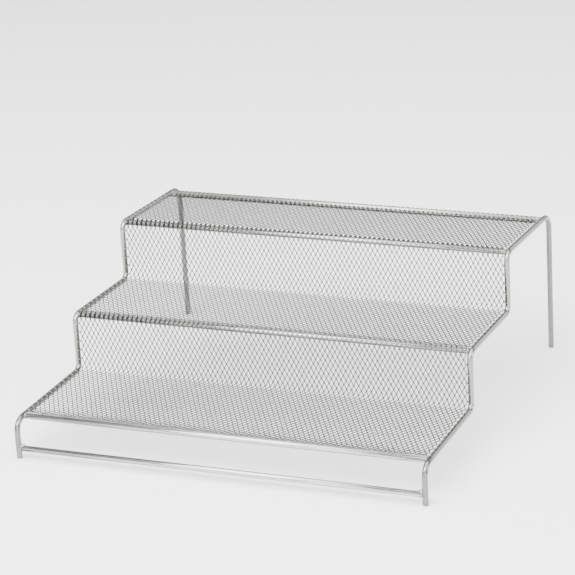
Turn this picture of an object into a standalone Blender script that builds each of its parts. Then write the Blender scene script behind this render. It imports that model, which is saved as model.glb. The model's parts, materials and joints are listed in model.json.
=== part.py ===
"""Three-step wire shelf riser: two bent side wires, five cross wires and one folded sheet of mesh.

Units are metres, +Z is up, the front is at -Y. The origin is on the floor, under the middle of the
footprint. Lengths along the depth are first written from the front legs' centre line, and
`depth_point` moves them into that frame.
"""

import math

import bmesh
import bpy
from mathutils import Matrix, Vector

MM = 0.001

# Overall size, outside to outside.
WIDTH = 279.4 * MM
DEPTH = 271.5 * MM

# Wire stock, the same for the side wires and the cross wires.
FRAME_WIRE = 3.8 * MM
WELD_GAP = 0.3 * MM

# Side profile, on the centre line of the side wires. The upper two treads lean back: each height is
# the one at the tread's front, and its drop is how much lower the tread ends.
SIDE_X = (WIDTH - FRAME_WIRE) / 2
REAR_LEG = DEPTH - FRAME_WIRE
LOW_TREAD = 25.4 * MM
MIDDLE_TREAD = 63.8 * MM
MIDDLE_DROP = 2.2 * MM
TOP_TREAD = 102 * MM
TOP_DROP = 4.8 * MM
FIRST_RISER = 91.8 * MM
SECOND_RISER = 172.2 * MM
FRONT_BEND = 8 * MM
NOSE_BEND = 6 * MM
FOOT_OF_RISER_BEND = 5 * MM
REAR_BEND = 11 * MM
FOOT_ROUNDING = 1.1 * MM

# Cross wires. Those that carry the sheet lie level with the side wires' centre line.
RAIL_HEIGHT = 7 * MM
FRONT_EDGE_DEPTH = 10 * MM
NOSE_SETBACK = 2.4 * MM
REAR_EDGE_SETBACK = 14.7 * MM

# Mesh sheet, as a plain folded plate with the outer shape of the mesh.
SHEET_THICKNESS = 0.7 * MM
SHEET_RISE = 0.5 * MM
SHEET_FOLD = 4 * MM
NOSE_RAMP = 10 * MM
SHEET_START = FRONT_EDGE_DEPTH + FRAME_WIRE / 2 + WELD_GAP
AROUND_WIRE = FRAME_WIRE / 2 + WELD_GAP + SHEET_THICKNESS / 2
REAR_ROLL_END = math.radians(185)

WIRE_SIDES = 12
ARC_STEPS = 6
SHEET_ARC_STEPS = 4
ROLL_STEPS = 14


def depth_point(depth, height, x=0.0):
    """The point at this depth behind the front legs' centre line, in the part's frame."""
    return Vector((x, depth - REAR_LEG / 2, height))


def tread_tilt(depth):
    """How far the tread at this depth leans back, as an angle."""
    if depth <= FIRST_RISER:
        return 0
    if depth <= SECOND_RISER:
        return math.atan(MIDDLE_DROP / (SECOND_RISER - FIRST_RISER))
    return math.atan(TOP_DROP / (REAR_LEG - SECOND_RISER))


def tread_height(depth):
    """The height of the side wires' centre line on the tread at this depth."""
    if depth <= FIRST_RISER:
        return LOW_TREAD
    front, height = (FIRST_RISER, MIDDLE_TREAD) if depth <= SECOND_RISER else (SECOND_RISER, TOP_TREAD)
    return height - (depth - front) * math.tan(tread_tilt(depth))


def arc(centre, radius, start, end, steps):
    """Points (depth, height) along a circular arc, angles measured from +depth towards +height."""
    depth, height = centre
    angles = [start + (end - start) * i / steps for i in range(steps + 1)]
    return [(depth + radius * math.cos(a), height + radius * math.sin(a)) for a in angles]


def rounded_path(corners, steps):
    """A path through (depth, height, bend radius) corners with a tangent arc at each inner one."""
    points = [corners[0][:2]]
    for before, corner, after in zip(corners, corners[1:], corners[2:]):
        here = Vector(corner[:2])
        inward = (Vector(before[:2]) - here).normalized()
        onward = (Vector(after[:2]) - here).normalized()
        half_angle = inward.angle(onward) / 2
        centre = here + (inward + onward).normalized() * corner[2] / math.sin(half_angle)
        first = here + inward * corner[2] / math.tan(half_angle) - centre
        last = here + onward * corner[2] / math.tan(half_angle) - centre
        start = math.atan2(first.y, first.x)
        turn = math.remainder(math.atan2(last.y, last.x) - start, math.tau)
        points += arc(centre, corner[2], start, start + turn, steps)
    points.append(corners[-1][:2])
    return points


def material(name, color, roughness, metallic):
    mat = bpy.data.materials.new(name)
    mat.use_nodes = True
    shader = mat.node_tree.nodes["Principled BSDF"]
    shader.inputs["Base Color"].default_value = (*color, 1)
    shader.inputs["Roughness"].default_value = roughness
    shader.inputs["Metallic"].default_value = metallic
    return mat


def finish(obj, collection, mat):
    collection.objects.link(obj)
    obj.data.materials.append(mat)
    obj.data.shade_smooth()
    obj.data.set_sharp_from_angle(angle=math.radians(40))
    return obj


def wire(name, points):
    """A closed round wire through these points, as a mesh object with its caps welded on."""
    curve = bpy.data.curves.new(name, "CURVE")
    curve.dimensions = "3D"
    curve.bevel_depth = FRAME_WIRE / 2
    curve.bevel_resolution = (WIRE_SIDES - 4) // 2
    curve.use_fill_caps = True
    spline = curve.splines.new("POLY")
    spline.points.add(len(points) - 1)
    for knot, point in zip(spline.points, points):
        knot.co = (*point, 1)
    guide = bpy.data.objects.new(name, curve)
    bpy.context.scene.collection.objects.link(guide)
    graph = bpy.context.evaluated_depsgraph_get()
    mesh = bpy.data.meshes.new_from_object(guide.evaluated_get(graph))
    bpy.data.objects.remove(guide)
    shape = bmesh.new()
    shape.from_mesh(mesh)
    bmesh.ops.remove_doubles(shape, verts=shape.verts, dist=1e-6)
    bmesh.ops.recalc_face_normals(shape, faces=shape.faces)
    shape.to_mesh(mesh)
    shape.free()
    return bpy.data.objects.new(name, mesh)


def cross_wire(name, depth, height):
    """A straight wire between the side wires."""
    half = SIDE_X - FRAME_WIRE / 2 - WELD_GAP
    return wire(name, [depth_point(depth, height, x) for x in (-half, half)])


def round_cap_edges(obj):
    """Rounds the cut ends of a wire."""
    bevel = obj.modifiers.new("rounded_ends", "BEVEL")
    bevel.width = FOOT_ROUNDING
    bevel.segments = 3
    bevel.limit_method = "ANGLE"
    bevel.angle_limit = math.radians(60)


def side_wire(name, x):
    """One bent wire: front leg, three treads with two risers between them, and rear leg."""
    corners = [
        (0, 0, 0),
        (0, LOW_TREAD, FRONT_BEND),
        (FIRST_RISER, LOW_TREAD, FOOT_OF_RISER_BEND),
        (FIRST_RISER, MIDDLE_TREAD, NOSE_BEND),
        (SECOND_RISER, MIDDLE_TREAD - MIDDLE_DROP, FOOT_OF_RISER_BEND),
        (SECOND_RISER, TOP_TREAD, NOSE_BEND),
        (REAR_LEG, TOP_TREAD - TOP_DROP, REAR_BEND),
        (REAR_LEG, 0, 0),
    ]
    points = [depth_point(depth, height, x) for depth, height in rounded_path(corners, ARC_STEPS)]
    obj = wire(name, points)
    round_cap_edges(obj)
    return obj


def level_wire(depth):
    """The centre of a cross wire level with the side wires at this depth, as depth and height."""
    return depth, tread_height(depth)


def on_tread(depth):
    """The sheet's middle line where it lies on a tread."""
    return depth, tread_height(depth) + SHEET_RISE


def riser(nose):
    """The sheet from the tread in front, up the riser and over the nose wire centred at nose."""
    fold_depth = nose[0] - AROUND_WIRE - SHEET_FOLD
    tilt = tread_tilt(fold_depth)
    fold = (fold_depth, on_tread(fold_depth)[1] + SHEET_FOLD / math.cos(tilt))
    points = arc(fold, SHEET_FOLD, -math.pi / 2 - tilt, 0, SHEET_ARC_STEPS)
    ramp = math.atan2(AROUND_WIRE - SHEET_RISE, NOSE_RAMP) + tread_tilt(nose[0])
    points += arc(nose, AROUND_WIRE, math.pi, math.pi / 2 - ramp, SHEET_ARC_STEPS)
    points.append(on_tread(nose[0] + NOSE_RAMP))
    return points


def rear_roll(centre):
    """The sheet's rear edge: down under the rear wire, up behind it and over to its front."""
    ramp = math.atan2(AROUND_WIRE + SHEET_RISE, NOSE_RAMP) + tread_tilt(centre[0])
    points = [on_tread(centre[0] - NOSE_RAMP)]
    return points + arc(centre, AROUND_WIRE, -math.pi / 2 - ramp, REAR_ROLL_END, ROLL_STEPS)


def sheet_profile():
    """The folded sheet's middle line, from its front edge to its rolled rear edge."""
    points = [on_tread(SHEET_START)]
    points += riser(level_wire(FIRST_RISER + NOSE_SETBACK))
    points += riser(level_wire(SECOND_RISER + NOSE_SETBACK))
    return points + rear_roll(level_wire(REAR_LEG - REAR_EDGE_SETBACK))


def mesh_deck():
    """The mesh sheet: its profile swept across the width, then thickened about its middle."""
    half = SIDE_X - FRAME_WIRE / 2 - WELD_GAP
    shape = bmesh.new()
    row = [shape.verts.new(depth_point(*point, -half)) for point in sheet_profile()]
    edges = [shape.edges.new(pair) for pair in zip(row, row[1:])]
    swept = bmesh.ops.extrude_edge_only(shape, edges=edges)["geom"]
    far_side = [item for item in swept if isinstance(item, bmesh.types.BMVert)]
    bmesh.ops.transform(shape, matrix=Matrix.Translation((2 * half, 0, 0)), verts=far_side)
    bmesh.ops.recalc_face_normals(shape, faces=shape.faces)
    mesh = bpy.data.meshes.new("mesh_deck")
    shape.to_mesh(mesh)
    shape.free()
    obj = bpy.data.objects.new("mesh_deck", mesh)
    plate = obj.modifiers.new("plate", "SOLIDIFY")
    plate.thickness = SHEET_THICKNESS
    plate.offset = 0
    plate.use_even_offset = True
    return obj


def main():
    for obj in list(bpy.data.objects):
        bpy.data.objects.remove(obj)
    parts = bpy.data.collections.new("tiered_shelf_riser")
    bpy.context.scene.collection.children.link(parts)
    frame_paint = material("silver_frame_wire", (0.56, 0.56, 0.54), 0.34, 0.85)
    mesh_paint = material("silver_mesh", (0.50, 0.50, 0.49), 0.42, 0.8)

    finish(side_wire("left_side_wire", -SIDE_X), parts, frame_paint)
    finish(side_wire("right_side_wire", SIDE_X), parts, frame_paint)
    cross_wires = {
        "lower_front_rail": (0, RAIL_HEIGHT),
        "front_edge_wire": level_wire(FRONT_EDGE_DEPTH),
        "middle_nose_wire": level_wire(FIRST_RISER + NOSE_SETBACK),
        "top_nose_wire": level_wire(SECOND_RISER + NOSE_SETBACK),
        "rear_edge_wire": level_wire(REAR_LEG - REAR_EDGE_SETBACK),
    }
    for name, (depth, height) in cross_wires.items():
        finish(cross_wire(name, depth, height), parts, frame_paint)
    finish(mesh_deck(), parts, mesh_paint)


main()
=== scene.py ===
"""Looks of the tiered shelf riser: expanded metal mesh, welds and silver paint round the CAD frame."""

import json
import math

import bpy
import numpy as np
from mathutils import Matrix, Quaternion, Vector, noise


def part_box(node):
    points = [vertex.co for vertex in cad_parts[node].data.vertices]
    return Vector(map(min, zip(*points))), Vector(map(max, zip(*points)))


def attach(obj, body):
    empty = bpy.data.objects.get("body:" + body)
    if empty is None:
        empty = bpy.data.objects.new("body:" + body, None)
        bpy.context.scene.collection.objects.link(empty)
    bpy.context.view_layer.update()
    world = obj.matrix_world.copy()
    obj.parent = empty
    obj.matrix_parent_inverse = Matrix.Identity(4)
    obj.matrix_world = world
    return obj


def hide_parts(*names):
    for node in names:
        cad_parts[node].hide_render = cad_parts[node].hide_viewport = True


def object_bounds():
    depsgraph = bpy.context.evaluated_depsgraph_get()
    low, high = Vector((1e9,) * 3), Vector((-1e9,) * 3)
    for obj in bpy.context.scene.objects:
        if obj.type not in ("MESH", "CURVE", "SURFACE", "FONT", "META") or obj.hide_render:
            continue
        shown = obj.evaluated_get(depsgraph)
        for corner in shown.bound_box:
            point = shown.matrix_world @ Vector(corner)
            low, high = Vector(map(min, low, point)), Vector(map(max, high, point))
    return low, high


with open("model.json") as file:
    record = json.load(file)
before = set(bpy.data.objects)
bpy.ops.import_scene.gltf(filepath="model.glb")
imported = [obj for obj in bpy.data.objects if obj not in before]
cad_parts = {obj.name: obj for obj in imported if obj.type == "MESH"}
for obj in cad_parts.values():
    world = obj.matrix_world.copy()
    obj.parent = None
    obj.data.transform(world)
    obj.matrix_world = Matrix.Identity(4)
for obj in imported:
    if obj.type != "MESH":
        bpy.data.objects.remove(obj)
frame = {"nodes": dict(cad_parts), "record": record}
cad_low, cad_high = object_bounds()

MM = 0.001

# Expanded metal: strands zigzag along the depth, and neighbours meet in bonds round long diamonds.
# The strands are pressed thin where they lie on a nose wire or on the rear wire.
SHORT_PITCH = 3.4 * MM
NOMINAL_LONG_PITCH = 6.35 * MM
STRAND_WIDTH = 0.62 * MM
STRAND_THICKNESS = 0.6 * MM
PRESSED_THICKNESS = 0.26 * MM
BOND_LENGTH = 0.75 * MM
STRAND_TILT = math.radians(-28)
BEND_STEP = 0.45 * MM
STATION_GAP = 0.04 * MM
PRESSED_FADE = 0.8 * MM
PROBE = 0.1 * MM

# How the sheet lies over the cross wires. A ramp is the run from a wire's centre to where the sheet
# reaches the tread, and the mesh starts behind the front edge wire's centre. Angles are round the
# wire, from +Y towards +Z.
SHEET_ABOVE_PLATE = 0.15 * MM
RISER_FOLD = 4 * MM
CREST_RAMP = 10 * MM
NOSE_RAMP = 6 * MM
MESH_START = 2.4 * MM
REAR_ROLL_END = math.radians(212)
NOSE_BROW = math.radians(160)

# The sheet's side edges rise onto the side wires, and tabs reach the wires' top lines. At the rear
# roll the edges are tucked in between the wires instead. The inset and the lap's three lengths are
# from a side wire's centre line. A tab starts at each bond where the outermost strand is farthest out.
EDGE_INSET = 1.5 * MM
LAP_START = 3.2 * MM
LAP_FULL = 1.75 * MM
LAP_END = 0.15 * MM
TUCK_FROM_EDGE = 6 * MM
TUCK_GAP = 0.3 * MM
TAB_WIDTH = 0.8 * MM
TAB_THICKNESS = 0.3 * MM
TAB_STEPS = 9
AT_BOND = 0.9

# The crushed selvage that holds the sheet's front edge to the front edge wire. It starts at an angle
# in front of the wire's top, and only behind the top over the wire's bare ends. Its front line is
# ragged and its top rippled, each given as a size and a depth.
SELVAGE_THICKNESS = 0.45 * MM
SELVAGE_GAP = 0.03 * MM
SELVAGE_FRONT = math.radians(98)
SELVAGE_BACK_ONLY = math.radians(72)
SELVAGE_BARE_END = 12 * MM
SELVAGE_BARE_FADE = 1.2 * MM
SELVAGE_TAIL = 1.9 * MM
SELVAGE_RAGGED = (1.6 * MM, math.radians(9))
SELVAGE_RIPPLE = (0.9 * MM, 0.22 * MM)
SELVAGE_COLUMNS = 361
SELVAGE_LAP_STEPS = 9
SELVAGE_TAIL_STEPS = 4

# Weld beads, as half sizes, and the bigger fillets over the lower rail's ends.
BEAD_HALF_LENGTH = 1.1 * MM
BEAD_OVER_WIRE = 1.12
FILLET_SIZE = (2.4 * MM, 1.3 * MM, 1.5 * MM)
FILLET_INSET = 0.7 * MM
FILLET_RISE = 0.8
BEAD_UNEVENNESS = 0.16

# Mottled paint tones, darkest and lightest.
WIRE_TONES = ((0.4, 0.397, 0.388), (0.48, 0.48, 0.47))
SIDE_TONES = ((0.15, 0.149, 0.144), (0.21, 0.21, 0.204))
MESH_TONES = ((0.1, 0.1, 0.096), (0.16, 0.16, 0.156))
# Painted shade: the nose wires get darker tones than the other wires, for the shade under the sheet.
NOSE_PAINTED_SHADE_TONES = ((0.32, 0.32, 0.306), (0.4, 0.4, 0.385))
# Painted light: the rear wire gets lighter tones than the other wires, lifting the shade along the
# sheet's roll.
REAR_PAINTED_LIGHT_TONES = ((0.48, 0.48, 0.45), (0.56, 0.56, 0.53))
WELD_TONES = ((0.2, 0.2, 0.193), (0.3, 0.3, 0.293))
# Painted light: the selvage gets lighter tones than the rest of the sheet, for the light on its
# crushed top.
SELVAGE_PAINTED_LIGHT_TONES = ((0.36, 0.36, 0.35), (0.52, 0.52, 0.51))
# Painted light: the tabs get lighter tones than the rest of the sheet, for the light they catch facing
# up over the side wires.
TAB_PAINTED_LIGHT_TONES = ((0.34, 0.34, 0.33), (0.46, 0.46, 0.447))

# Even tones: painted light for the side wires beside the sheet, painted shade for their inner top
# faces under the sheet's edge, and the floor.
PAINTED_LIGHT_BESIDE_SHEET = (0.26, 0.258, 0.245)
PAINTED_SHADE_TONE = (0.21, 0.21, 0.2)
FLOOR_COLOR = (0.93, 0.93, 0.93)

# Gloss at grazing angles, and the scale of the paint's fine grain.
DULL_EDGE = (0.3, 0.3, 0.3, 1)
BRIGHT_EDGE = (1, 1, 1, 1)
WIRE_GRAIN = 1400.0
WELD_GRAIN = 1200.0
MESH_GRAIN = 1800.0

# Each paint's tones, roughness, share of metal, strength of bump, grain and, if bright, its edge.
LOOKS = {
    "wire": (WIRE_TONES, 0.2, 0.95, 0.1, WIRE_GRAIN),
    "nose_wire": (NOSE_PAINTED_SHADE_TONES, 0.18, 0.97, 0.1, WIRE_GRAIN),
    "rear_wire": (REAR_PAINTED_LIGHT_TONES, 0.34, 0.9, 0.25, WIRE_GRAIN),
    "weld": (WELD_TONES, 0.32, 0.9, 0.5, WELD_GRAIN),
    "selvage": (SELVAGE_PAINTED_LIGHT_TONES, 0.3, 0.9, 0.5, WELD_GRAIN),
    "mesh": (MESH_TONES, 0.32, 0.9, 0.3, MESH_GRAIN),
    "tab": (TAB_PAINTED_LIGHT_TONES, 0.32, 0.9, 0.3, MESH_GRAIN),
}
SIDE_LOOK = (SIDE_TONES, 0.18, 0.97, 0.12, WIRE_GRAIN, BRIGHT_EDGE)

# The side wires' paint changes between each pair of lengths: outwards from the wire's centre line,
# back from the CAD's front and forward from its rear. The last pair is how far a face looks up.
PAINTED_SHADE_EDGE = (0.15 * MM, -0.35 * MM)
SHEET_BEGINS = (13 * MM, 15 * MM)
SHEET_ENDS = (17 * MM, 24 * MM)
FACING_UP = (0.1, 0.5)

# Camera, fitted to the photograph's view.
CAMERA_AZIMUTH = 22.94
CAMERA_ELEVATION = 19.99
CAMERA_ROLL = -3.277
CAMERA_AIM = Vector((-0.0048, 0.0086, 0.0768))
CAMERA_DISTANCE = 1.7093
CAMERA_LENS = 161.84

FLOOR_REACH = 6
WORLD_STRENGTH = 0.75


# ---------------------------------------------------------------- frame dimensions

MOUNTS = {mount["name"]: mount for mount in frame["record"]["mounts"]}
side_low, side_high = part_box("right_side_wire")
SIDE_X = (side_low.x + side_high.x) / 2
SIDE_RADIUS = (side_high.x - side_low.x) / 2
LAP_RADIUS = SIDE_RADIUS + PRESSED_THICKNESS / 2
LAST_COLUMN = math.floor((SIDE_X - EDGE_INSET) / (SHORT_PITCH / 2) - 0.5)


def cross_wire(node):
    """Depth, height and radius of a straight wire that runs across."""
    low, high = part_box(node)
    return (low.y + high.y) / 2, (low.z + high.z) / 2, (high.z - low.z) / 2


def tread_tilt(name):
    """How far a tread leans back, as an angle."""
    return math.atan2(MOUNTS[name]["axis"][1], MOUNTS[name]["axis"][2])


def on_tread(name, y):
    """Point (depth, height) of the sheet's middle surface on a tread."""
    place = MOUNTS[name]["pos_m"]
    return y, place[2] + SHEET_ABOVE_PLATE - (y - place[1]) * math.tan(tread_tilt(name))


# ---------------------------------------------------------------- the sheet's path

def arc(centre, radius, start, end):
    """Points on an arc in the depth-height plane, close enough together for the strands."""
    steps = max(3, math.ceil(abs(end - start) * radius / BEND_STEP))
    angles = np.linspace(start, end, steps + 1)
    return [(centre[0] + radius * math.cos(a), centre[1] + radius * math.sin(a)) for a in angles]


def ramp_angle(wire, tread, run):
    """Slope of the sheet between the crest over a cross wire and the tread's level."""
    y, z, radius = wire
    crest = z + radius + PRESSED_THICKNESS / 2
    return math.atan2(crest - on_tread(tread, y)[1], run)


def riser(nose, below, above):
    """The sheet's path between two treads: fold, riser, nose and the ramp down behind the nose."""
    radius = nose[2] + PRESSED_THICKNESS / 2
    face = nose[0] - radius
    tilt = tread_tilt(below)
    fold_y = face - RISER_FOLD
    fold = (fold_y, on_tread(below, fold_y)[1] + RISER_FOLD / math.cos(tilt))
    points = arc(fold, RISER_FOLD, -math.pi / 2 - tilt, 0)
    crest_end = math.pi / 2 - ramp_angle(nose, above, NOSE_RAMP) - tread_tilt(above)
    points += arc(nose[:2], radius, math.pi, crest_end)
    points.append(on_tread(above, nose[0] + NOSE_RAMP))
    return points


def sheet_path():
    """The sheet's middle line, the indexes in it where its panels begin and end, and its roll's."""
    front = cross_wire("front_edge_wire")
    rear = cross_wire("rear_edge_wire")
    slope = ramp_angle(front, "first_tread", CREST_RAMP)
    crest = front[1] + front[2] + PRESSED_THICKNESS / 2
    points = [(front[0] + MESH_START, crest - MESH_START * math.tan(slope))]
    points.append(on_tread("first_tread", front[0] + CREST_RAMP))
    joints = [0]
    for nose, below, above in (
        ("middle_nose_wire", "first_tread", "second_tread"),
        ("top_nose_wire", "second_tread", "third_tread"),
    ):
        joints.append(len(points))
        points += riser(cross_wire(nose), below, above)
        joints.append(len(points) - 1)
    roll = len(points)
    points.append(on_tread("third_tread", rear[0] - CREST_RAMP))
    radius = rear[2] + PRESSED_THICKNESS / 2
    fall = math.atan2(points[-1][1] - rear[1] + radius, CREST_RAMP)
    points += arc(rear[:2], radius, -math.pi / 2 - fall, REAR_ROLL_END)
    joints.append(len(points) - 1)
    return np.array(points), joints, roll


def arc_lengths(points):
    """Each point's distance from the first along the polyline."""
    return np.concatenate([[0], np.cumsum(np.linalg.norm(np.diff(points, axis=0), axis=1))])


def side_wire_line():
    """The right side wire's centre line, read from the row of its corners that is farthest out."""
    found = {
        (round(v.co.y, 6), round(v.co.z, 6))
        for v in frame["nodes"]["right_side_wire"].data.vertices
        if v.co.x > side_high.x - 1e-6
    }
    line = [min(found, key=lambda p: (round(p[0], 4), p[1]))]
    found.remove(line[0])
    while found:
        line.append(min(found, key=lambda p: math.dist(p, line[-1])))
        found.remove(line[-1])
    return np.array(line)


def nearest_on(line, points):
    """For each point, the nearest point of a polyline."""
    start, step = line[:-1], np.diff(line, axis=0)
    share = ((points[:, None] - start) * step).sum(-1) / (step**2).sum(-1)
    places = start + step * np.clip(share, 0, 1)[..., None]
    best = np.argmin(np.linalg.norm(points[:, None] - places, axis=-1), axis=1)
    return places[np.arange(len(points)), best]


# ---------------------------------------------------------------- the mesh sheet

class Sheet:
    """The sheet's middle surface: a point for each station along its path and each place across."""

    def __init__(self):
        self.path, self.joints, roll = sheet_path()
        self.lengths = arc_lengths(self.path)
        self.wire_line = side_wire_line()
        brows = [self.brow(cross_wire(name)) for name in ("middle_nose_wire", "top_nose_wire")]
        rows = round(2 * (brows[1] - brows[0]) / NOMINAL_LONG_PITCH)
        self.half_pitch = (brows[1] - brows[0]) / rows
        self.origin = brows[0]
        self.roll_start = self.lengths[roll]

    def brow(self, nose):
        """The length along the path at a nose's brow, where a row of bonds lies."""
        point = arc(nose[:2], nose[2], NOSE_BROW, NOSE_BROW)[0]
        return self.lengths[np.argmin(np.linalg.norm(self.path - point, axis=1))]

    def turn(self, marks):
        """Half pitches along the sheet, whole at a row of bonds."""
        return (marks - self.origin) / self.half_pitch

    def bond_rows(self):
        """Places along the path of all rows of bonds."""
        first = math.ceil(self.turn(0))
        last = math.floor(self.turn(self.lengths[-1]))
        return self.origin + np.arange(first, last + 1) * self.half_pitch

    def stations(self):
        """Places along the path where strands turn, and where the sheet bends."""
        total = self.lengths[-1]
        rows = self.bond_rows()
        marks = np.concatenate([rows - BOND_LENGTH / 2, rows + BOND_LENGTH / 2])
        bends = self.lengths[np.r_[True, np.diff(self.lengths) < 2 * BEND_STEP]]
        marks = np.concatenate([marks, bends, self.lengths[self.joints]])
        marks = np.unique(np.round(marks[(marks >= 0) & (marks <= total)], 6))
        return marks[np.r_[True, np.diff(marks) > STATION_GAP]]

    def at(self, marks):
        """At these marks, the middle line, its outward normals, the side wire's centre beside it and
        how far the sheet's edges are tucked in between the side wires, 0 to 1."""
        line = np.column_stack([np.interp(marks, self.lengths, self.path[:, i]) for i in (0, 1)])
        ahead = np.column_stack(
            [np.interp(marks + 2 * PROBE, self.lengths, self.path[:, i]) for i in (0, 1)])
        behind = np.column_stack(
            [np.interp(marks - 2 * PROBE, self.lengths, self.path[:, i]) for i in (0, 1)])
        along = ahead - behind
        along /= np.linalg.norm(along, axis=1, keepdims=True)
        normals = np.column_stack([-along[:, 1], along[:, 0]])
        beside = nearest_on(self.wire_line, line)
        tucked = smooth((marks - self.roll_start) / CREST_RAMP)
        return line, normals, beside, tucked

    def on_cross_wire(self, line):
        """How far each point of the middle line lies on a nose wire or the rear wire, 0 to 1."""
        share = np.zeros(len(line))
        for name in ("middle_nose_wire", "top_nose_wire", "rear_edge_wire"):
            y, z, radius = cross_wire(name)
            away = np.hypot(line[:, 0] - y, line[:, 1] - z) - radius - PRESSED_THICKNESS / 2
            share = np.maximum(share, smooth(1 - away / PRESSED_FADE))
        return share

    def surface(self, station, x):
        """Points of the middle surface. x has a row for each strand and a column for each station.

        Near a side wire the sheet rises over it, and along the rear roll it is tucked in between.
        """
        line, normals, beside, tucked = station
        inner, full = SIDE_X - TUCK_FROM_EDGE, SIDE_X - LAP_END
        squeeze = 1 - tucked * (SIDE_RADIUS + TUCK_GAP - LAP_END) / (full - inner)
        past = np.maximum(np.abs(x) - inner, 0)
        x = np.sign(x) * (np.abs(x) - past + past * squeeze)
        distance = np.maximum(SIDE_X - np.abs(x), 0)
        rise = np.sqrt(np.maximum(LAP_RADIUS**2 - distance**2, 0))
        lapped = beside + normals * rise[..., None]
        share = smooth((LAP_START - distance) / (LAP_START - LAP_FULL)) * (1 - tucked)
        mixed = line * (1 - share[..., None]) + lapped * share[..., None]
        return np.concatenate([x[..., None], mixed], axis=-1)


def smooth(share):
    """Clamps to 0..1, with a soft start and end."""
    share = np.clip(share, 0, 1)
    return share * share * (3 - 2 * share)


def zigzag(sheet, marks, column):
    """A strand's place between its two columns, from -1 to 1, with a flat stretch at each bond."""
    turn = sheet.turn(marks) + column
    wave = 1 - 4 * np.abs(turn / 2 - np.floor(turn / 2 + 0.5))
    return np.clip(wave / (1 - BOND_LENGTH / sheet.half_pitch), -1, 1)


def strand_corners(sheet, columns, marks):
    """Corners of the strands' rectangular section: strand, station, corner, coordinate."""
    station = sheet.at(marks)
    quarter = SHORT_PITCH / 4
    side = np.array([zigzag(sheet, marks, column) for column in columns])
    axis = np.array(columns)[:, None] * 2 * quarter
    pressed = sheet.on_cross_wire(station[0])
    middle = axis + side * (quarter - STRAND_WIDTH / 2)
    half = STRAND_WIDTH / 2 * math.cos(STRAND_TILT)
    left = sheet.surface(station, middle - half)
    right = sheet.surface(station, middle + half)
    across = sheet.surface(station, middle + PROBE) - sheet.surface(station, middle - PROBE)
    along = np.gradient(sheet.surface(station, middle), axis=1)
    normal = np.cross(across, along)
    normal /= np.linalg.norm(normal, axis=-1, keepdims=True)
    lean = (STRAND_WIDTH / 2 * math.sin(STRAND_TILT) * (1 - pressed))[:, None]
    drop = side[..., None] * lean * normal
    tilt = lean * normal
    thickness = STRAND_THICKNESS + (PRESSED_THICKNESS - STRAND_THICKNESS) * pressed
    thick = thickness[:, None] / 2 * normal
    return np.stack(
        [left + tilt + drop - thick, right - tilt + drop - thick,
         right - tilt + drop + thick, left + tilt + drop + thick], axis=2)


def boxes_along(corners):
    """Vertices and faces of closed square tubes through these corners."""
    strands, stations = corners.shape[:2]
    index = np.arange(strands * stations * 4).reshape(strands, stations, 4)
    near, far = index[:, :-1], index[:, 1:]
    sides = np.stack(
        [np.stack([near[..., i], near[..., (i + 1) % 4], far[..., (i + 1) % 4], far[..., i]], -1)
         for i in range(4)], axis=2).reshape(-1, 4)
    caps = np.concatenate([index[:, 0, ::-1], index[:, -1]])
    return corners.reshape(-1, 3), np.concatenate([sides, caps])


def new_mesh(name, points, faces, smooth_angle=None):
    """A new object, shaded smooth across edges flatter than the angle, which is in degrees."""
    mesh = bpy.data.meshes.new(name)
    mesh.from_pydata(points, [], faces)
    mesh.update()
    if smooth_angle:
        mesh.shade_smooth()
        mesh.set_sharp_from_angle(angle=math.radians(smooth_angle))
    obj = bpy.data.objects.new(name, mesh)
    bpy.context.scene.collection.objects.link(obj)
    return obj


def mesh_panels(sheet):
    """The expanded metal, one object for each tread and riser of the one folded sheet."""
    marks = sheet.stations()
    corners = strand_corners(sheet, np.arange(-LAST_COLUMN, LAST_COLUMN + 1), marks)
    names = ("first_tread", "first_riser", "second_tread", "second_riser", "third_tread")
    panels = []
    for name, first, end in zip(names, sheet.joints, sheet.joints[1:]):
        low, high = sheet.lengths[[first, end]]
        inside = (marks >= low - 1e-7) & (marks <= high + 1e-7)
        points, faces = boxes_along(corners[:, inside])
        panels.append(new_mesh(f"{name}_mesh", points.tolist(), faces.tolist()))
    return panels


def edge_tabs(sheet):
    """Tabs from the sheet's outermost bonds over the side wires, welded to their top line."""
    rows = sheet.bond_rows()
    rows = rows[rows < sheet.roll_start]
    start = LAST_COLUMN * SHORT_PITCH / 2
    tabs = []
    for side in (-1, 1):
        on_edge = rows[zigzag(sheet, rows, side * LAST_COLUMN) * side > AT_BOND]
        across = side * np.linspace(start, SIDE_X - LAP_END, TAB_STEPS)
        across = np.repeat(across[:, None], len(on_edge), axis=1)
        ends = [
            sheet.surface(sheet.at(on_edge + shift), across).transpose(1, 0, 2)
            for shift in (side * TAB_WIDTH / 2, -side * TAB_WIDTH / 2)
        ]
        normal = np.cross(ends[1] - ends[0], np.gradient(ends[0], axis=1))
        thick = TAB_THICKNESS / 2 * normal / np.linalg.norm(normal, axis=-1, keepdims=True)
        tabs.append(np.stack(
            [ends[0] - thick, ends[1] - thick, ends[1] + thick, ends[0] + thick], axis=2))
    points, faces = boxes_along(np.concatenate(tabs))
    return new_mesh("edge_tabs", points.tolist(), faces.tolist(), smooth_angle=50)


# ---------------------------------------------------------------- selvage and welds

def ripple(x, y, z, size, depth):
    """Smooth unevenness up to about depth, which changes over about size."""
    return depth * noise.noise(Vector((x, y, z)) / size)


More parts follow.
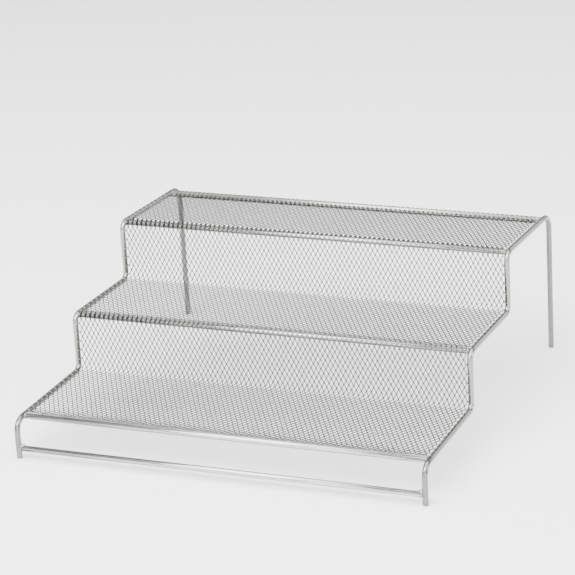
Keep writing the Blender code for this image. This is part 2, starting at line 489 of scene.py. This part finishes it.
def selvage_line(x, wire, slope, lift):
    """The selvage's section at x: over the wire from its front, then down the sheet's ramp."""
    y, z, radius = wire
    bare_from = SIDE_X - SIDE_RADIUS - SELVAGE_BARE_END
    bare = min(1, max(0, (abs(x) - bare_from) / SELVAGE_BARE_FADE + 0.5))
    edge = ripple(x, 0, 1, *SELVAGE_RAGGED)
    front = SELVAGE_FRONT * (1 - bare) + SELVAGE_BACK_ONLY * bare + edge
    back = min(math.pi / 2 - slope, front - 0.1)
    out = radius + SELVAGE_GAP + lift
    line = []
    for angle in np.linspace(front, back, SELVAGE_LAP_STEPS):
        line.append((x, y + out * math.cos(angle), z + out * math.sin(angle)))
    crest_y, crest_z = line[-1][1:]
    for i in range(1, SELVAGE_TAIL_STEPS + 1):
        run = SELVAGE_TAIL * i / SELVAGE_TAIL_STEPS
        line.append((x, crest_y + run, crest_z - run * math.tan(slope)))
    return line


def closed_skin(outer, inner):
    """Vertices and faces of the solid between two grids of points."""
    points = np.concatenate([outer, inner]).reshape(-1, 3)
    grid = np.arange(len(points)).reshape(2, *outer.shape[:2])
    faces = []
    for g, turn in zip(grid, (1, -1)):
        quads = np.stack([g[:-1, :-1], g[1:, :-1], g[1:, 1:], g[:-1, 1:]], -1).reshape(-1, 4)
        faces.append(quads[:, ::turn])
    o, i = grid
    for a, b in ((o[:, 0], i[:, 0]), (i[:, -1], o[:, -1])):
        faces.append(np.stack([a[1:], a[:-1], b[:-1], b[1:]], -1))
    for a, b in ((o[0], i[0]), (i[-1], o[-1])):
        faces.append(np.stack([a[:-1], a[1:], b[1:], b[:-1]], -1))
    return points, np.concatenate(faces)


def selvage():
    """The crushed front edge of the sheet, lapped over the front edge wire and uneven on top."""
    wire = cross_wire("front_edge_wire")
    slope = ramp_angle(wire, "first_tread", CREST_RAMP)
    columns = np.linspace(-SIDE_X + SIDE_RADIUS, SIDE_X - SIDE_RADIUS, SELVAGE_COLUMNS)
    inner = [selvage_line(x, wire, slope, 0) for x in columns]
    outer = [selvage_line(x, wire, slope, SELVAGE_THICKNESS) for x in columns]
    outer = [[(x, y, z + ripple(x, y, z, *SELVAGE_RIPPLE)) for x, y, z in line] for line in outer]
    points, faces = closed_skin(np.array(outer), np.array(inner))
    return new_mesh("front_selvage", points.tolist(), faces.tolist(), smooth_angle=50)


def lump(centre, size, seed, rings=8, sides=12):
    """A closed, slightly uneven bead: vertices and faces."""
    points = [(0, 0, -1)]
    for i in range(1, rings):
        polar = math.pi * i / rings
        for j in range(sides):
            turn = math.tau * j / sides
            points.append((math.sin(polar) * math.cos(turn), math.sin(polar) * math.sin(turn),
                           -math.cos(polar)))
    points.append((0, 0, 1))
    shaped = []
    for p in points:
        uneven = 1 + BEAD_UNEVENNESS * noise.noise(Vector(p) * 1.7 + Vector((seed, 0, seed)))
        shaped.append([c + s * q * uneven for c, s, q in zip(centre, size, p)])
    faces = []
    for j in range(sides):
        faces.append((0, 1 + (j + 1) % sides, 1 + j))
        last = 1 + (rings - 2) * sides
        faces.append((len(points) - 1, last + j, last + (j + 1) % sides))
    for i in range(rings - 2):
        for j in range(sides):
            a, b = 1 + i * sides + j, 1 + i * sides + (j + 1) % sides
            faces.append((a, b, b + sides, a + sides))
    return shaped, faces


def lumps(name, places):
    """Many beads as one object. Each place is a centre and a size."""
    points, faces = [], []
    for seed, (centre, size) in enumerate(places):
        some, polygons = lump(centre, size, seed)
        faces += [[i + len(points) for i in polygon] for polygon in polygons]
        points += some
    return new_mesh(name, points, faces, smooth_angle=60)


def joint_welds():
    """Beads where the cross wires meet the side wires."""
    places = []
    for name in ("lower_front_rail", "front_edge_wire", "middle_nose_wire", "top_nose_wire",
                 "rear_edge_wire"):
        y, z, radius = cross_wire(name)
        for side in (-1, 1):
            x = side * (SIDE_X - SIDE_RADIUS)
            across = radius * BEAD_OVER_WIRE
            places.append(((x, y, z), (BEAD_HALF_LENGTH, across, across)))
            if name == "lower_front_rail":
                fillet = (x - side * FILLET_INSET, y, z + radius * FILLET_RISE)
                places.append((fillet, FILLET_SIZE))
    return lumps("joint_welds", places)


# ---------------------------------------------------------------- materials

def node(tree, kind, **values):
    """A new shader node. Each value goes to the input of that name, or else to the property."""
    made = tree.nodes.new(kind)
    for key, value in values.items():
        if key in made.inputs:
            made.inputs[key].default_value = value
        else:
            setattr(made, key, value)
    return made


def remap(tree, value, start, end, low=0.0, high=1.0, kind="LINEAR"):
    """The output of a node that carries the range from start to end over to low to high."""
    ranges = {"From Min": start, "From Max": end, "To Min": low, "To Max": high}
    made = node(tree, "ShaderNodeMapRange", interpolation_type=kind, **ranges)
    tree.links.new(value, made.inputs["Value"])
    return made.outputs["Result"]


def soft_step(tree, value, start, end):
    """The output of a node that goes softly from 0 to 1 between start and end."""
    return remap(tree, value, start, end, kind="SMOOTHSTEP")


def mix_colors(tree, factor, first, second):
    """The output of a node that goes from the first colour to the second."""
    mix = node(tree, "ShaderNodeMix", data_type="RGBA")
    tree.links.new(factor, mix.inputs[0])
    for socket, value in ((mix.inputs[6], first), (mix.inputs[7], second)):
        if isinstance(value, tuple):
            socket.default_value = (*value, 1)
        else:
            tree.links.new(value, socket)
    return mix.outputs[2]


def product(tree, first, second):
    """The output of a node that multiplies two shares."""
    times = node(tree, "ShaderNodeMath", operation="MULTIPLY")
    tree.links.new(first, times.inputs[0])
    tree.links.new(second, times.inputs[1])
    return times.outputs[0]


def silver_paint(name, tones, roughness, metallic, bump, grain, edge=DULL_EDGE):
    """Silver paint on steel: mottled between two tones, with uneven gloss and a fine grain."""
    mat = bpy.data.materials.new(name)
    mat.use_nodes = True
    tree = mat.node_tree
    shader = tree.nodes["Principled BSDF"]
    link = tree.links.new
    place = node(tree, "ShaderNodeTexCoord")
    cloud = node(tree, "ShaderNodeTexNoise", Scale=160.0, Detail=4.0, Roughness=0.6)
    fine = node(tree, "ShaderNodeTexNoise", Scale=grain, Detail=3.0, Roughness=0.7)
    for texture in (cloud, fine):
        link(place.outputs["Object"], texture.inputs["Vector"])
    blend = node(tree, "ShaderNodeMix", data_type="FLOAT")
    blend.inputs[0].default_value = 0.45
    link(cloud.outputs["Fac"], blend.inputs[2])
    link(fine.outputs["Fac"], blend.inputs[3])
    mottle = remap(tree, blend.outputs[0], 0.36, 0.62)
    link(mix_colors(tree, mottle, *tones), shader.inputs["Base Color"])
    rough = remap(tree, cloud.outputs["Fac"], 0, 1, roughness - 0.06, roughness + 0.1)
    link(rough, shader.inputs["Roughness"])
    relief = node(tree, "ShaderNodeBump", Strength=bump, Distance=0.06 * MM)
    link(fine.outputs["Fac"], relief.inputs["Height"])
    link(relief.outputs["Normal"], shader.inputs["Normal"])
    shader.inputs["Metallic"].default_value = metallic
    shader.inputs["Specular Tint"].default_value = edge
    return mat


def side_wire_paint():
    """The side wires' paint, with painted light beside the sheet and painted shade under its edge."""
    mat = silver_paint("silver_side_wire", *SIDE_LOOK)
    tree = mat.node_tree
    link = tree.links.new
    base = tree.nodes["Principled BSDF"].inputs["Base Color"]
    tone = base.links[0].from_socket
    place = node(tree, "ShaderNodeSeparateXYZ")
    link(node(tree, "ShaderNodeTexCoord").outputs["Object"], place.inputs[0])
    width = node(tree, "ShaderNodeMath", operation="ABSOLUTE")
    link(place.outputs["X"], width.inputs[0])
    facing = node(tree, "ShaderNodeSeparateXYZ")
    link(node(tree, "ShaderNodeNewGeometry").outputs["Normal"], facing.inputs[0])
    inner = soft_step(tree, width.outputs[0], *(SIDE_X + out for out in PAINTED_SHADE_EDGE))
    top = soft_step(tree, facing.outputs["Z"], *FACING_UP)
    begun = soft_step(tree, place.outputs["Y"], *(cad_low.y + back for back in SHEET_BEGINS))
    not_over = soft_step(tree, place.outputs["Y"], *(cad_high.y - ahead for ahead in SHEET_ENDS))
    beside_sheet = product(tree, begun, not_over)
    # Painted shade: the inner top faces of the side wires beside the sheet are darkened where the
    # sheet's edge shades them.
    painted_shade = product(tree, product(tree, inner, top), beside_sheet)
    # Painted light: the side wires are made lighter where they run beside the sheet.
    color = mix_colors(tree, beside_sheet, tone, PAINTED_LIGHT_BESIDE_SHEET)
    link(mix_colors(tree, painted_shade, color, PAINTED_SHADE_TONE), base)
    return mat


def paint(obj, mat):
    """Makes this the object's only material."""
    obj.data.materials.clear()
    obj.data.materials.append(mat)


def smooth_node(obj):
    """Welds a CAD node's split corners for shading, without changing its mesh."""
    obj.data.shade_smooth()
    weld = obj.modifiers.new("weld", "WELD")
    weld.merge_threshold = 0.01 * MM


# ---------------------------------------------------------------- stage

def floor():
    """A wide, plain pale floor."""
    far = FLOOR_REACH
    points = [(-far, -far, 0), (far, -far, 0), (far, far, 0), (-far, far, 0)]
    obj = new_mesh("studio_floor", points, [(0, 1, 2, 3)])
    mat = bpy.data.materials.new("studio_floor")
    mat.use_nodes = True
    shader = mat.node_tree.nodes["Principled BSDF"]
    shader.inputs["Base Color"].default_value = (*FLOOR_COLOR, 1)
    shader.inputs["Roughness"].default_value = 0.8
    paint(obj, mat)


def softbox(name, place, target, size, power):
    """A rectangular area lamp at a place, aimed at a target."""
    lamp = bpy.data.lights.new(name, "AREA")
    lamp.shape = "RECTANGLE"
    lamp.size, lamp.size_y = size
    lamp.energy = power
    obj = bpy.data.objects.new(name, lamp)
    obj.location = place
    obj.rotation_euler = (Vector(target) - Vector(place)).to_track_quat("-Z", "Y").to_euler()
    bpy.context.scene.collection.objects.link(obj)


def studio_light():
    """An even white surround and six soft lamps."""
    world = bpy.data.worlds.new("studio")
    world.use_nodes = True
    world.node_tree.nodes["Background"].inputs["Color"].default_value = (1, 1, 1, 1)
    world.node_tree.nodes["Background"].inputs["Strength"].default_value = WORLD_STRENGTH
    bpy.context.scene.world = world
    softbox("key_light", (-0.8, -1.35, 1.6), (-0.8, 0, 0.05), (3, 1.2), 130)
    softbox("right_light", (1.25, -1.8, 0.55), (0, 0, 0.05), (0.9, 0.9), 20)
    softbox("front_light", (-0.6, -2.4, 0.75), (-0.3, 0, 0.05), (2.6, 1.1), 34)
    softbox("side_light", (1.7, 0.15, 0.65), (0, 0, 0.05), (1, 1), 22)
    softbox("back_light", (0.95, 2.2, 0.9), (0, 0, 0.05), (1.2, 1.2), 11)
    softbox("top_light", (0.1, -0.45, 1.7), (0.1, -0.45, 0), (2.5, 2.5), 112)


def camera():
    """The scene's camera, turned round the aim point to the photograph's view."""
    data = bpy.data.cameras.new("camera")
    data.sensor_width = 36
    data.lens = CAMERA_LENS
    data.clip_start, data.clip_end = 0.05, 50
    obj = bpy.data.objects.new("camera", data)
    turn, rise = math.radians(CAMERA_AZIMUTH), math.radians(CAMERA_ELEVATION)
    back = Vector((math.sin(turn) * math.cos(rise), -math.cos(turn) * math.cos(rise), math.sin(rise)))
    obj.location = CAMERA_AIM + back * CAMERA_DISTANCE
    obj.rotation_mode = "QUATERNION"
    level = (-back).to_track_quat("-Z", "Y")
    obj.rotation_quaternion = level @ Quaternion((0, 0, 1), math.radians(CAMERA_ROLL))
    bpy.context.scene.collection.objects.link(obj)
    bpy.context.scene.camera = obj


# ---------------------------------------------------------------- build

camera()
floor()
studio_light()

paints = {name: silver_paint(f"silver_{name}", *look) for name, look in LOOKS.items()}
paints["side_wire"] = side_wire_paint()
wire_paints = {
    "left_side_wire": "side_wire",
    "right_side_wire": "side_wire",
    "lower_front_rail": "wire",
    "front_edge_wire": "wire",
    "middle_nose_wire": "nose_wire",
    "top_nose_wire": "nose_wire",
    "rear_edge_wire": "rear_wire",
}
for name, finish in wire_paints.items():
    smooth_node(frame["nodes"][name])
    paint(frame["nodes"][name], paints[finish])

sheet = Sheet()
for panel in mesh_panels(sheet):
    paint(panel, paints["mesh"])
    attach(panel, "root")
    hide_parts("mesh_deck")

for piece, slot, finish in (
    (selvage(), "mesh", "selvage"),
    (joint_welds(), "frame_wire", "weld"),
    (edge_tabs(sheet), "mesh", "tab"),
):
    paint(piece, paints[finish])
    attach(piece, "root")
